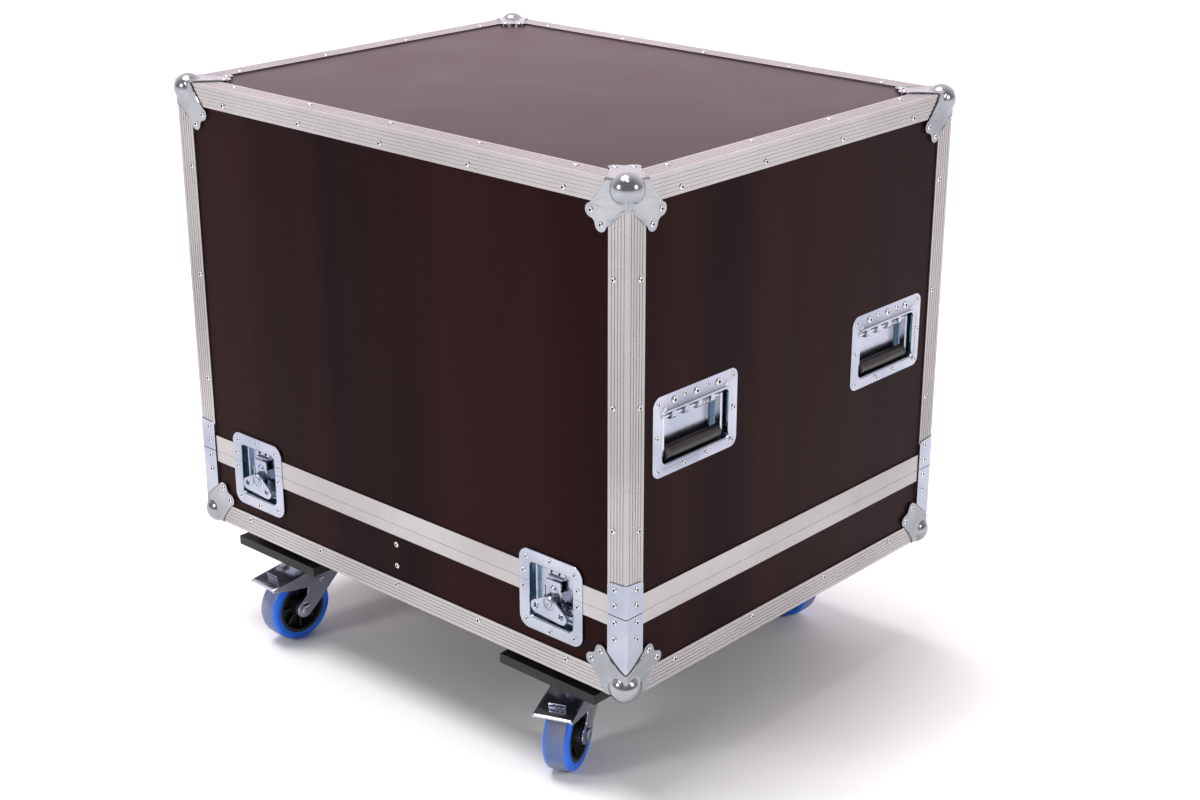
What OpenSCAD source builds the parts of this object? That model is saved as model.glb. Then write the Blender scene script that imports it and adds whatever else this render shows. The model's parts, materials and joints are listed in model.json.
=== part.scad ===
// Lift-off hood equipment case on a shallow castor tray.
// Millimetres, +Z up, front (long, latched) face towards -Y. The origin is on the floor, under the middle of
// the whole footprint: the front wheels stand out past the case, so the case sits a little towards +Y.

/* [Case] */
// Outside width of the case body, along X
case_w = 818; // [760:2:1000]
// Outside depth of the case body, along Y
case_d = 648; // [620:2:800]
// Height of the case body without its castors
case_h = 646; // [560:2:760]
// Height of the tray, from its underside to the seam
tray_h = 110; // [108:1:114]
// Thickness of the plywood panels
panel_t = 9; // [7:0.5:9]

/* [Aluminium profiles] */
// Leg width of the edge angle
leg = 30; // [28:0.5:32]
// Wall thickness of the edge angle and of the closing profile
skin = 2; // [1.5:0.1:2]
// Number of fine grooves along each leg
grooves = 5; // [3:1:5]
// Visible height of the hood's closing profile
hood_closing_h = 24; // [20:0.5:26]
// Visible height of the tray's closing profile
tray_closing_h = 16; // [14:0.5:18]
// Gap at the seam with the hood down
seam_gap = 0.4; // [0.3:0.1:0.6]

/* [Corner hardware] */
// Radius of the steel ball at each corner
ball_r = 20; // [19:0.5:21]
// Distance from the corner ball's centre to each outer face
ball_in = 11.5; // [11:0.1:12]
// Distance between neighbouring edge rivets
rivet_pitch = 155; // [150:1:158]
// Distance from an edge to its row of rivets
rivet_in = 22; // [20:0.5:24]

/* [Latches] */
// Distance of each latch from the middle of its face
latch_x = 285; // [260:1:300]
// Height of the latch dish centre above the tray's underside
latch_z = 99.5; // [97:0.5:102]
// Lift of the hook plate over half a turn of the wing
hook_lift = 8; // [4:0.5:8]

/* [Handles] */
// Distance of each handle from the middle of its face
handle_x = 198.5; // [160:0.5:210]
// Height of the handle dish centre above the tray's underside
handle_z = 326.5; // [250:0.5:480]

/* [Castors] */
// Wheel diameter
wheel_d = 100; // [98:1:101]
// Tyre width
wheel_w = 36; // [32:1:36]
// Overall height of a castor
castor_h = 128; // [127:1:130]
// Distance of each swivel axis from the middle, along X
castor_x = 262; // [240:1:266]
// Distance of each swivel axis from the middle, along Y
castor_y = 248; // [240:1:260]
// Offset from the swivel axis back to the axle
trail = 42; // [41:0.5:43]
// Turn of the front left castor about its swivel, in degrees
yaw_fl = -3; // [-30:1:30]
// Turn of the front right castor about its swivel, in degrees
yaw_fr = 22; // [-30:1:30]

/* [Hidden] */
$fn = 48;
plate_t = 1.5;
dish_t = 1.2;
fit = 0.05;
small_gap = 0.5;
mitre_gap = 0.1;

half_w = case_w / 2;
half_d = case_d / 2;
board_t = 13;
packer_h = 18;
pedal_tip = 97;
pedal_half = 27.4;
front_reach = castor_y + pedal_tip * cos(yaw_fr) + pedal_half * sin(yaw_fr);
ball_reach = half_d + ball_r - ball_in;
body_y = round((front_reach - ball_reach) / 2);
base_z = castor_h + board_t + packer_h;
seam_z = base_z + tray_h;
top_z = base_z + case_h;
floor_top = skin + panel_t;

// Closing profile section
tongue_h = 5.5;
groove_room = 8.5;
inner_leg_hood = 18;
inner_leg_tray = 12;

// Latch dish: outline, opening and depth
latch_dish = [107, 109];
latch_open = 73;
latch_deep = 12;
hub_z = -7.7;
wing_tilt = 4;
wing_in = -4.2;
wing_t = 2.5;
shaft_r = 5;
hook_w = 25.4;
hook_top = 21;
hook_in = 4;
hook_t = 2.5;

// Handle dish: outline, opening and depth
handle_dish = [157, 103];
handle_open_w = 124;
handle_open_top = 27;
handle_open_low = -36;
handle_deep = 17.8;
pin_in = 8.3;
pin_z = 20;
pin_r = 3;
grip_z = -27;
grip_r = 8.5;
grip_len = 104;
arm_t = 4;
arm_w = 8;
knuckle_at = [-36, -12, 12, 36];
knuckle_w = 8;
knuckle_r = 6;

// Castor
axle_z = wheel_d / 2;
axle_r = 6;
fork_in = wheel_w / 2 + 4;
sheet = 3;
crown_z = wheel_d + 6;
kingpin_r = 6;
cup_z = castor_h - 7;
race_r = 17;
race_ball_r = 2;
race_z = cup_z - race_ball_r - 0.05;
pin_y = -11;
pin_up = 87.4;
castor_yaw = [yaw_fl, yaw_fr, -90, 90];
castor_side = [[-1, -1], [1, -1], [1, 1], [-1, 1]];
bolt_at = [42, 32];

// Colours
panel_colour = [0.20, 0.12, 0.12];
aluminium_colour = [0.80, 0.78, 0.76];
zinc_colour = [0.74, 0.77, 0.84];
steel_colour = [0.62, 0.64, 0.68];
wood_colour = [0.13, 0.10, 0.09];
foam_colour = [0.16, 0.16, 0.17];

four = [1, 2, 3, 4];

// ---------------------------------------------------------------- placing

// Moves the whole object so that its footprint is centred on the origin
module placed() {
  translate([0, body_y, 0]) children();
}

// Mirrors its children across one axis, or leaves them alone
module flip(on, axis) {
  if (on) mirror(axis) children();
  else children();
}

// Turns a shape in the XY plane onto each of a corner's three faces
module onto_face(k) {
  if (k == 0) children();
  if (k == 1) rotate([90, 0, 90]) children();
  if (k == 2) rotate([0, -90, -90]) children();
}

// Puts a piece drawn inwards from (0, 0, 0) onto each of four corners at height z
module four_corners(z, from_top) {
  for (sx = [-1, 1], sy = [-1, 1])
    translate([sx * half_w, sy * half_d, z])
      flip(sx > 0, [1, 0, 0]) flip(sy > 0, [0, 1, 0]) flip(from_top, [0, 0, 1]) children();
}

function side_half(s) = s % 2 == 0 ? half_d : half_w;
function side_len(s) = s % 2 == 0 ? case_w : case_d;

// A frame on side s (0 front, 1 right, 2 back, 3 left): X along the side, +Y into the case, Z up
module on_side(s) {
  rotate([0, 0, 90 * s]) translate([0, -side_half(s), 0]) children();
}

// Extrudes a section drawn as (inwards, up) along the side's X
module bar(length) {
  rotate([90, 0, 90]) translate([0, 0, -length / 2]) linear_extrude(length) children();
}

// Extrudes an outline drawn as (X, Z) from depth n0 to depth n1
module slab(n0, n1) {
  translate([0, n1, 0]) rotate([90, 0, 0]) linear_extrude(n1 - n0) children();
}

module rounded(size, r) {
  for (sx = [-1, 1], sy = [-1, 1])
    translate([sx * (size[0] / 2 - r), sy * (size[1] / 2 - r)]) circle(r);
  square([size[0] - 2 * r, size[1]], center = true);
  square([size[0], size[1] - 2 * r], center = true);
}

module latch_frame(i) {
  rotate([0, 0, i <= 2 ? 0 : 180])
    translate([(i % 2 == 1 ? -1 : 1) * latch_x, -half_d, base_z + latch_z]) children();
}

module handle_frame(i) {
  on_side(i <= 2 ? 1 : 3)
    translate([(i % 2 == 1 ? -1 : 1) * handle_x, skin, base_z + handle_z]) children();
}

module castor_frame(i) {
  translate([castor_side[i - 1][0] * castor_x, castor_side[i - 1][1] * castor_y, 0])
    rotate([0, 0, castor_yaw[i - 1]]) children();
}

// ---------------------------------------------------------------- fasteners

// A domed rivet whose head sits on the plane Y = 0 and whose shank runs inwards
module rivet(head_r = 4, head_h = 1.5, shank = 9) {
  dome_r = (head_r * head_r + head_h * head_h) / (2 * head_h);
  rotate([90, 0, 0]) rotate_extrude() {
    intersection() {
      translate([0, head_h - dome_r]) circle(dome_r);
      square([head_r, head_h]);
    }
    translate([0, -shank]) square([head_r * 0.45, shank]);
  }
}

// Rivet positions along a side: an even row about the middle
function rivet_row(s) = s % 2 == 0
  ? [for (k = [-2:2]) k * rivet_pitch]
  : [for (k = [-1.5:1:1.5]) k * rivet_pitch];

// ---------------------------------------------------------------- aluminium profiles

// Grooved angle, its outer faces on the two axes
module angle_section() {
  pitch = (leg - 6) / grooves;
  difference() {
    union() {
      square([leg, skin]);
      square([skin, leg]);
    }
    for (k = [0:grooves - 1]) {
      translate([5 + k * pitch, -1]) square([1.1, 1.5]);
      translate([-1, 5 + k * pitch]) square([1.5, 1.1]);
    }
  }
}

// Four horizontal edge angles; up is 1 for a bottom edge and -1 for a top edge
module edge_angles(z, up) {
  for (s = [0:3])
    on_side(s) translate([0, 0, z]) bar(side_len(s) - 2 * leg) mirror([0, up > 0 ? 0 : 1]) angle_section();
}

module corner_posts(z0, z1) {
  for (sx = [-1, 1], sy = [-1, 1])
    translate([sx * half_w, sy * half_d, z0])
      flip(sx > 0, [1, 0, 0]) flip(sy > 0, [0, 1, 0]) linear_extrude(z1 - z0) angle_section();
}

// Space kept free at the corners for the posts
module post_room() {
  for (sx = [-1, 1], sy = [-1, 1])
    translate([sx * half_w, sy * half_d, seam_z - 50]) flip(sx > 0, [1, 0, 0]) flip(sy > 0, [0, 1, 0]) {
      translate([-1, -1, 0]) cube([leg + 1, skin + 1, 100]);
      translate([-1, -1, 0]) cube([skin + 1, leg + 1, 100]);
    }
}

module tray_closing_section() {
  translate([0, -tray_closing_h]) square([skin, tray_closing_h]);
  translate([0, -skin]) square([floor_top + skin, skin]);
  translate([floor_top, -inner_leg_tray]) square([skin, inner_leg_tray]);
  translate([5, -skin]) square([3, tongue_h + skin]);
}

module hood_closing_section() {
  difference() {
    union() {
      translate([0, seam_gap]) square([skin, hood_closing_h - seam_gap]);
      translate([0, seam_gap]) square([floor_top + skin, groove_room - seam_gap]);
      translate([floor_top, seam_gap]) square([skin, inner_leg_hood - seam_gap]);
    }
    translate([4.4, 0]) square([4.2, tongue_h + 1]);
  }
}

// A closing profile on each side, mitred at the corners and cut away behind the posts and latch dishes
module closing_profiles() {
  difference() {
    for (s = [0:3])
      on_side(s) translate([0, 0, seam_z]) intersection() {
        bar(side_len(s)) children();
        linear_extrude(100, center = true)
          polygon([[mitre_gap - side_len(s) / 2, 0], [side_len(s) / 2 - mitre_gap, 0],
                   [side_len(s) / 2 - mitre_gap - leg, leg], [mitre_gap + leg - side_len(s) / 2, leg]]);
      }
    post_room();
    latch_pan_rooms();
  }
}

module tray_edge_profiles() {
  color(aluminium_colour) {
    edge_angles(base_z, 1);
    corner_posts(base_z + leg, seam_z);
  }
}

module hood_edge_profiles() {
  color(aluminium_colour) {
    edge_angles(top_z, -1);
    corner_posts(seam_z + seam_gap, top_z - leg);
  }
}

module tray_closing_profiles() {
  color(aluminium_colour) closing_profiles() tray_closing_section();
}

module hood_closing_profiles() {
  color(aluminium_colour) closing_profiles() hood_closing_section();
}

// ---------------------------------------------------------------- panels

// Space for the latch pans, cut from panels and closing profiles
module latch_pan_rooms() {
  for (i = four)
    latch_frame(i) slab(-1, 40) square(latch_open + 2 * dish_t, center = true);
}

module handle_pan_rooms() {
  for (i = four)
    handle_frame(i) slab(-1, 40) translate([0, (handle_open_top + handle_open_low) / 2])
      square([handle_open_w + 2 * dish_t, handle_open_top - handle_open_low + 2 * dish_t], center = true);
}

module long_panels(z0, z1) {
  difference() {
    for (s = [0, 2])
      on_side(s) translate([skin - half_w, skin, z0]) cube([case_w - 2 * skin, panel_t, z1 - z0]);
    latch_pan_rooms();
  }
}

module end_panels(z0, z1) {
  difference() {
    for (s = [1, 3])
      on_side(s) translate([floor_top - half_d, skin, z0])
        cube([case_d - 2 * floor_top, panel_t, z1 - z0]);
    handle_pan_rooms();
  }
}

module flat_panel(z) {
  translate([skin - half_w, skin - half_d, z]) cube([case_w - 2 * skin, case_d - 2 * skin, panel_t]);
}

module tray_floor_panel() {
  color(panel_colour) flat_panel(base_z + skin);
}

module tray_long_panels() {
  color(panel_colour) long_panels(base_z + floor_top, seam_z - skin);
}

module tray_end_panels() {
  color(panel_colour) end_panels(base_z + floor_top, seam_z - skin);
}

module hood_top_panel() {
  color(panel_colour) flat_panel(top_z - floor_top);
}

module hood_long_panels() {
  color(panel_colour) long_panels(seam_z + groove_room, top_z - floor_top);
}

module hood_end_panels() {
  color(panel_colour) end_panels(seam_z + groove_room, top_z - floor_top);
}

// ---------------------------------------------------------------- corner hardware

// Outline of a ball corner's plate on one face: two rivet lobes beyond the edge angles
module corner_plate_outline() {
  polygon([[-plate_t, -plate_t], [34, -plate_t], [36, 6], [44, 17], [55, 31.5], [56, 48],
           [48, 56], [31.5, 55], [17, 44], [6, 36], [-plate_t, 34]]);
  translate([55, 40]) circle(8.5);
  translate([40, 55]) circle(8.5);
}

module ball_corner() {
  difference() {
    union() {
      for (k = [0:2])
        onto_face(k) translate([0, 0, -plate_t]) linear_extrude(plate_t + skin) corner_plate_outline();
      translate([ball_in, ball_in, ball_in]) sphere(ball_r);
    }
    translate([skin, skin, skin]) cube(100);
    for (k = [0:2])
      onto_face(k) {
        cube([leg, 100, skin]);
        cube([100, leg, skin]);
      }
  }
}

module tray_ball_corners() {
  color(steel_colour) four_corners(base_z, false) ball_corner();
}

module hood_ball_corners() {
  color(steel_colour) four_corners(top_z, true) ball_corner();
}

// One leg of a seam bracket, drawn as (inwards from the arris, up)
module bracket_leg(outline) {
  rotate([90, 0, 0]) linear_extrude(plate_t) polygon(outline);
}

module seam_bracket(outline) {
  bracket_leg(outline);
  mirror([1, -1, 0]) bracket_leg(outline);
}

module tray_corner_brackets() {
  low = [[-plate_t, 37], [3, 38], [16, 47], [29, 58], [29, tray_h], [-plate_t, tray_h]];
  color(zinc_colour) four_corners(base_z, false) seam_bracket(low);
}

module hood_corner_brackets() {
  high = [[-plate_t, seam_gap], [29, seam_gap], [29, 40], [26, 43], [-plate_t, 45]];
  color(zinc_colour) four_corners(seam_z, false) seam_bracket(high);
}

// ---------------------------------------------------------------- latches

// A pressed dish with a flat flange, from depth -dish_t down to the pan floor
module latch_dish_whole() {
  difference() {
    union() {
      slab(-dish_t, skin) rounded(latch_dish, 16);
      slab(-dish_t, latch_deep + dish_t) square(latch_open + 2 * dish_t, center = true);
    }
    slab(-10, latch_deep) rounded([latch_open, latch_open], 6);
    // the flange lies over the closing profiles
    for (sx = [-1, 1])
      translate([sx * (latch_open / 2 + dish_t + 20), 0, tray_h - latch_z]) slab(0, skin + 1)
        translate([-20, -tray_closing_h]) square([40, tray_closing_h + hood_closing_h]);
  }
}

module tray_latch_dishes() {
  color(zinc_colour) for (i = four)
    latch_frame(i) intersection() {
      latch_dish_whole();
      translate([-60, -20, -60]) cube([120, 60, 60 + tray_h - latch_z]);
    }
}

module hood_latch_dishes() {
  color(zinc_colour) for (i = four)
    latch_frame(i) intersection() {
      latch_dish_whole();
      translate([-60, -20, tray_h - latch_z + seam_gap]) cube([120, 60, 60]);
    }
}

// Base plate with two rails that guide the hook, a bore for the shaft and a padlock tab
module latch_base_plates() {
  rail_z = [-30, 9];
  color(steel_colour) for (i = four)
    latch_frame(i) difference() {
      union() {
        slab(latch_deep - 1.6, latch_deep) translate([-17, -34]) square([34, 43]);
        for (sx = [-1, 1])
          slab(hook_in - small_gap, latch_deep - 1.6)
            translate([sx * 14.2 - 1, rail_z[0]]) square([2, rail_z[1] - rail_z[0]]);
        slab(7, 8.6) {
          translate([15.2, -22]) square([10, 14]);
          translate([25.2, -15]) circle(7);
        }
      }
      slab(6, 10) translate([26, -15]) circle(2.6);
      slab(latch_deep - 3, latch_deep) translate([0, hub_z]) circle(shaft_r + fit);
    }
}

// Keeper on the upper dish: a plate with a ledge behind the top of the hook
module latch_keepers() {
  color(steel_colour) for (i = four)
    latch_frame(i) {
      slab(latch_deep - 1.6, latch_deep) translate([-14, 22]) square([28, 13]);
      slab(7, latch_deep - 1.6) translate([-12, 22]) square([24, 2]);
    }
}

// Wing outline about its hub
module wing_outline() {
  circle(10);
  for (sx = [-1, 1]) translate([sx * 21.5, -12.5]) circle(9);
  polygon([[-7, 7.1], [7, 7.1], [27, -5.4], [30, -10], [21.5, -21.5], [-21.5, -21.5], [-30, -10], [-27, -5.4]]);
}

module latch_wing(i) {
  color(zinc_colour) latch_frame(i) translate([0, 0, hub_z]) rotate([0, wing_tilt, 0]) {
    difference() {
      slab(wing_in, wing_in + wing_t) wing_outline();
      for (sx = [-1, 1]) slab(wing_in - 1, 1) translate([sx * 21, -11]) circle(3.2);
    }
    slab(wing_in - 1, wing_in + small_gap) circle(7);
    slab(wing_in + wing_t, hook_in - small_gap) circle(8);
    slab(hook_in - small_gap, latch_deep - 0.2) circle(shaft_r);
  }
}

// Hook plate with a serrated top edge, a slot for the shaft and a domed stud on its face
module latch_hook(i) {
  color(zinc_colour) latch_frame(i) {
    slab(hook_in, hook_in + hook_t) difference() {
      translate([-hook_w / 2, hub_z - hook_lift - 9.5])
        square([hook_w, hook_top - hub_z + hook_lift + 9.5]);
      shaft_slot();
      for (k = [-4:4]) translate([k * 2.8 - 0.6, hook_top - 0.8]) square([1.2, 1]);
    }
    translate([1, hook_in, 8]) rivet(5.5, 3.2, 1);
  }
}

// Slot that lets the hook plate rise past the shaft
module shaft_slot() {
  reach = shaft_r + 0.4;
  translate([0, hub_z]) circle(reach);
  translate([0, hub_z - hook_lift]) circle(reach);
  translate([-reach, hub_z - hook_lift]) square([2 * reach, hook_lift]);
}

// ---------------------------------------------------------------- handles

module handle_opening(grow) {
  translate([0, (handle_open_top + handle_open_low) / 2])
    rounded([handle_open_w + 2 * grow, handle_open_top - handle_open_low + 2 * grow], 7 + grow);
}

// Pressed dish with a raised bead round its opening and hinge knuckles under the top edge
module handle_dish_one() {
  difference() {
    union() {
      difference() {
        union() {
          slab(-dish_t, 0) rounded(handle_dish, 12);
          slab(-dish_t - 1.2, 0) handle_opening(5);
          slab(-dish_t, handle_deep + dish_t) handle_opening(dish_t);
        }
        slab(-10, handle_deep) handle_opening(0);
      }
      for (x = knuckle_at) translate([x, 0, 0]) {
        translate([-knuckle_w / 2, pin_in, pin_z]) rotate([0, 90, 0]) cylinder(r = knuckle_r, h = knuckle_w);
        translate([-knuckle_w / 2, pin_in - knuckle_r, pin_z])
          cube([knuckle_w, 2 * knuckle_r, handle_open_top - pin_z + 0.4]);
      }
    }
    translate([-60, pin_in, pin_z]) rotate([0, 90, 0]) cylinder(r = pin_r + fit, h = 120);
  }
}

module handle_dishes() {
  color(zinc_colour) for (i = four) handle_frame(i) handle_dish_one();
}

// Steel bail: hinge pin, two flat arms and the rod inside the grip
module handle_bail(i) {
  color(steel_colour) handle_frame(i) {
    translate([-58, pin_in, pin_z]) rotate([0, 90, 0]) cylinder(r = pin_r, h = 116);
    for (sx = [-1, 1]) translate([sx * (grip_len / 2 + small_gap + arm_t / 2), pin_in, 0]) {
      translate([-arm_t / 2, -arm_w / 2, grip_z]) cube([arm_t, arm_w, pin_z - grip_z]);
      for (z = [grip_z, pin_z])
        translate([-arm_t / 2, 0, z]) rotate([0, 90, 0]) cylinder(r = arm_w / 2, h = arm_t);
    }
    translate([-grip_len / 2 - 1, pin_in, grip_z]) rotate([0, 90, 0]) cylinder(r = 3.5, h = grip_len + 2);
  }
}

module handle_grip(i) {
  color([0.06, 0.05, 0.05]) handle_frame(i)
    translate([-grip_len / 2, pin_in, grip_z]) rotate([0, 90, 0]) difference() {
      cylinder(r = grip_r, h = grip_len);
      translate([0, 0, -1]) cylinder(r = 3.5, h = grip_len + 2);
    }
}

// Ring k of a coil spring's wire, about the local X axis
function coil_ring(turn, x, coil_r, wire_r, sides) = [
  for (j = [0:sides - 1])
    let (a = 360 * j / sides, r = coil_r + wire_r * cos(a))
      [x + wire_r * sin(a), r * cos(turn), r * sin(turn)]
];

module coil(length, turns, coil_r, wire_r) {
  sides = 6;
  rings = turns * 12;
  points = [for (k = [0:rings]) each coil_ring(30 * k, length * k / rings, coil_r, wire_r, sides)];
  walls = [for (k = [0:rings - 1], j = [0:sides - 1])
    let (n = (j + 1) % sides)
      [k * sides + j, k * sides + n, (k + 1) * sides + n, (k + 1) * sides + j]];
  low_end = [for (j = [sides - 1:-1:0]) j];
  high_end = [for (j = [0:sides - 1]) rings * sides + j];
  polyhedron(points, concat(walls, [low_end, high_end]));
}

// Return spring round each hinge pin, between two knuckles
module handle_springs() {
  color(steel_colour) for (i = four)
    handle_frame(i) translate([17.5, pin_in, pin_z]) coil(13, 5, 4.5, 0.9);
}

// ---------------------------------------------------------------- inside

module tray_divider() {
  color(wood_colour) translate([-4.5, floor_top - half_d, base_z + floor_top])
    cube([9, case_d - 2 * floor_top, 84]);
}

module tray_foam_pads() {
  pad_w = half_w - floor_top - 4.5 - 2;
  color(foam_colour) for (sx = [-1, 1])
    translate([sx * (4.5 + 1 + pad_w / 2) - pad_w / 2, floor_top + 1 - half_d, base_z + floor_top])
      cube([pad_w, case_d - 2 * floor_top - 2, 20]);
}

module hood_foam_pad() {
  color(foam_colour) translate([floor_top + 1 - half_w, floor_top + 1 - half_d, top_z - floor_top - 20])
    cube([case_w - 2 * floor_top - 2, case_d - 2 * floor_top - 2, 20]);
}

// ---------------------------------------------------------------- rivets and screws

// Rivets through both legs of the horizontal edge angles
module edge_rivets(z, up) {
  for (s = [0:3], x = rivet_row(s))
    on_side(s) translate([x, 0, z]) {
      translate([0, 0, up * rivet_in]) rivet();
      translate([0, rivet_in, 0]) rotate([up * 90, 0, 0]) rivet();
    }
}

// Rivets of the seam brackets, of the posts and of the ball corners, on both faces of a corner
module corner_rivets(points, depth) {
  for (p = points) {
    translate([p[0], depth, p[1]]) rivet();
    mirror([1, -1, 0]) translate([p[0], depth, p[1]]) rivet();
  }
}

module ball_corner_rivets() {
  for (k = [0:2], p = [[55, 40], [40, 55]])
    onto_face(k) translate([p[0], p[1], -plate_t]) rotate([90, 0, 0]) rivet();
}

module latch_flange_rivets(points) {
  for (i = four, p = points) latch_frame(i) translate([p[0], -dish_t, p[1]]) rivet(3.6, 1.2, 8);
}

module tray_fasteners() {
  color(steel_colour) {
    edge_rivets(base_z, 1);
    four_corners(base_z, false) ball_corner_rivets();
    four_corners(base_z, false) corner_rivets([[17.5, 79], [17.5, 101]], -plate_t);
    latch_flange_rivets([[-41, -43], [0, -48], [41, -43], [-45.5, 2], [45.5, 2]]);
    // countersunk-washer screws into the ends of the divider
    for (s = [0, 2], z = [49, 80])
      on_side(s) translate([0, skin, base_z + z]) rivet(4, 1.5, 30);
  }
}

module hood_fasteners() {
  post_z = [for (k = [0:2]) 2 * tray_h + k * rivet_pitch];
  dish_points = [[-69.5, -42.5], [-20.5, -45], [20.5, -45], [69.5, -42.5], [-72, 0], [72, 0],
                 [-69.5, 42.5], [69.5, 42.5], [-21, 44], [21, 44]];
  color(steel_colour) {
    edge_rivets(top_z, -1);
    four_corners(top_z, true) ball_corner_rivets();
    four_corners(base_z, false) corner_rivets([[17.5, 124], [17.5, 145]], -plate_t);
    four_corners(base_z, false) corner_rivets([for (z = post_z) [rivet_in, z]], 0);
    latch_flange_rivets([[-41, 43], [0, 48], [41, 43], [-45.5, 23.5], [45.5, 23.5]]);
    for (i = four, x = [-6.75, 6.75])
      latch_frame(i) translate([x, latch_deep - 1.6, 29]) rivet(3, 1.2, 2.8);
    for (i = four) handle_frame(i) {
      for (p = dish_points) translate([p[0], -dish_t, p[1]]) rivet(3.4, 1.2, 8);
      for (x = [-41, 0, 41]) translate([x, -dish_t, 41.5]) rivet(5, 2.2, 8);
    }
  }
}

// ---------------------------------------------------------------- castors

module castor_packers() {
  color(wood_colour) for (sx = [-1, 1])
    translate([sx * 267.5 - 72, -288, base_z - packer_h]) cube([144, 576, packer_h + skin]);
}

module castor_boards() {
  color(wood_colour) for (sx = [-1, 1])
    translate([sx * 267.5 - 82.5, 8 - half_d, castor_h]) cube([165, case_d - 16, board_t]);
}

// Fixed plate, upper bearing cup and kingpin, riveted into one
module castor_plates() {
  color(steel_colour) for (c = castor_side) translate([c[0] * castor_x, c[1] * castor_y, 0]) {
    difference() {
      translate([-52.5, -42.5, castor_h - sheet]) cube([105, 85, sheet]);
      for (x = [-1, 1], y = [-1, 1])
        translate([x * bolt_at[0], y * bolt_at[1], castor_h - 10]) cylinder(r = 4.3, h = 20);
    }
    translate([0, 0, cup_z]) cylinder(r = 26, h = castor_h - sheet - cup_z);
    translate([0, 0, crown_z - 2]) cylinder(r = kingpin_r, h = castor_h - crown_z);
    translate([0, 0, crown_z - 4.5]) cylinder(r = 9, h = 4);
  }
}

module swivel_balls() {
  color(steel_colour) for (c = castor_side) translate([c[0] * castor_x, c[1] * castor_y, 0])
    for (k = [0:11]) rotate([0, 0, 30 * k]) translate([race_r, 0, race_z]) sphere(race_ball_r);
}

// Hexagon bolts up through the plate and the board into the packer
module castor_bolts() {
  color(steel_colour) for (c = castor_side, x = [-1, 1], y = [-1, 1])
    translate([c[0] * castor_x + x * bolt_at[0], c[1] * castor_y + y * bolt_at[1], 0]) {
      translate([0, 0, castor_h - sheet - 5.3]) cylinder(r = 7.5, h = 5.3, $fn = 6);
      translate([0, 0, castor_h - sheet - 1]) cylinder(r = 4, h = 30);
    }
}

// Side cheek of the fork, drawn as (along the trail, up)
module cheek_outline() {
  polygon([[-31, crown_z + sheet], [25, crown_z + sheet], [24, crown_z - 12], [-trail + 11, axle_z - 7],
           [-trail - 12, axle_z - 4], [-trail - 13, axle_z + 2], [-25, crown_z - 30]]);
  translate([-trail, axle_z]) circle(13);
}

// Pressed fork with its lower bearing cup, and the axle bolt with its head and nut
module castor_fork(i) {
  color(steel_colour) castor_frame(i) {
    difference() {
      union() {
        for (sx = [-1, 1])
          translate([sx * (fork_in + sheet / 2) - sheet / 2, 0, 0])
            rotate([90, 0, 90]) linear_extrude(sheet) cheek_outline();
        translate([-fork_in - sheet, -31, crown_z]) cube([2 * (fork_in + sheet), 56, sheet]);
        translate([0, 0, crown_z + sheet]) cylinder(r = 24, h = cup_z - small_gap - crown_z - sheet);
      }
      translate([0, 0, crown_z - 1]) cylinder(r = kingpin_r + fit, h = 30);
      translate([0, 0, race_z]) rotate_extrude() translate([race_r, 0]) circle(race_ball_r + 0.1);
    }
    translate([-fork_in - sheet - 5, -trail, axle_z]) rotate([0, 90, 0]) {
      cylinder(r = axle_r, h = 2 * (fork_in + sheet) + 10);
      cylinder(r = 9.5, h = 5, $fn = 6);
      translate([0, 0, 2 * (fork_in + sheet) + 5]) cylinder(r = 9.5, h = 5, $fn = 6);
    }
    if (i <= 2) for (sx = [-1, 1])
      translate([sx * (fork_in + sheet + 1.5) - 1.5, pin_y, pin_up]) rotate([0, 90, 0]) cylinder(r = 3, h = 3);
  }
}

module wheel_hub(i) {
  color([0.07, 0.07, 0.08]) castor_frame(i) translate([0, -trail, axle_z]) rotate([0, 90, 0])
    rotate_extrude() difference() {
      polygon([[axle_r + fit, -fork_in + 0.5], [14, -fork_in + 0.5], [16, -8], [30, -6], [34, -wheel_w / 2 + 1],
               [38, -wheel_w / 2 + 1], [38, wheel_w / 2 - 1], [34, wheel_w / 2 - 1], [30, 6], [16, 8],
               [14, fork_in - 0.5], [axle_r + fit, fork_in - 0.5]]);
    }
}

module wheel_tyre(i) {
  r = wheel_d / 2;
  w = wheel_w / 2;
  color([0.05, 0.40, 0.90]) castor_frame(i) translate([0, -trail, axle_z]) rotate([0, 90, 0])
    rotate_extrude() {
      translate([38, 1 - w]) square([4, wheel_w - 2]);
      translate([42, -w]) square([r - 48, wheel_w]);
      translate([r - 8, 6 - w]) square([8, wheel_w - 12]);
      for (y = [6 - w, w - 6]) translate([r - 6, y]) circle(6);
    }
}

// Pedal: a sloping tread plate, two side skirts that hang on the fork's stubs and an upright toe tab
module brake_pedal(i) {
  wide = fork_in + sheet + 0.4;
  skirt = 2;
  tip = [-pedal_tip, 97.5];
  rear = [-33, 107];
  color(steel_colour) castor_frame(i) {
    rotate([90, 0, 90]) {
      translate([0, 0, -wide]) linear_extrude(2 * wide)
        polygon([tip, rear, rear + [0, 2], tip + [0, 2]]);
      translate([0, 0, -12]) linear_extrude(24)
        polygon([[-77, 100.3], [-75.2, 100.6], [-78, 110], [-79.8, 109.6]]);
      for (sx = [-1, 1]) translate([0, 0, sx * (wide + skirt / 2) - skirt / 2]) linear_extrude(skirt)
        difference() {
          union() {
            polygon([tip + [0, 2], tip - [0, 5], [pin_y, pin_up - 8], [pin_y + 8, pin_up],
                     [pin_y + 4, pin_up + 7], rear + [0, 2]]);
            translate([pin_y, pin_up]) circle(8);
          }
          translate([pin_y, pin_up]) circle(3 + fit);
        }
    }
  }
}

// ---------------------------------------------------------------- nodes

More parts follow.
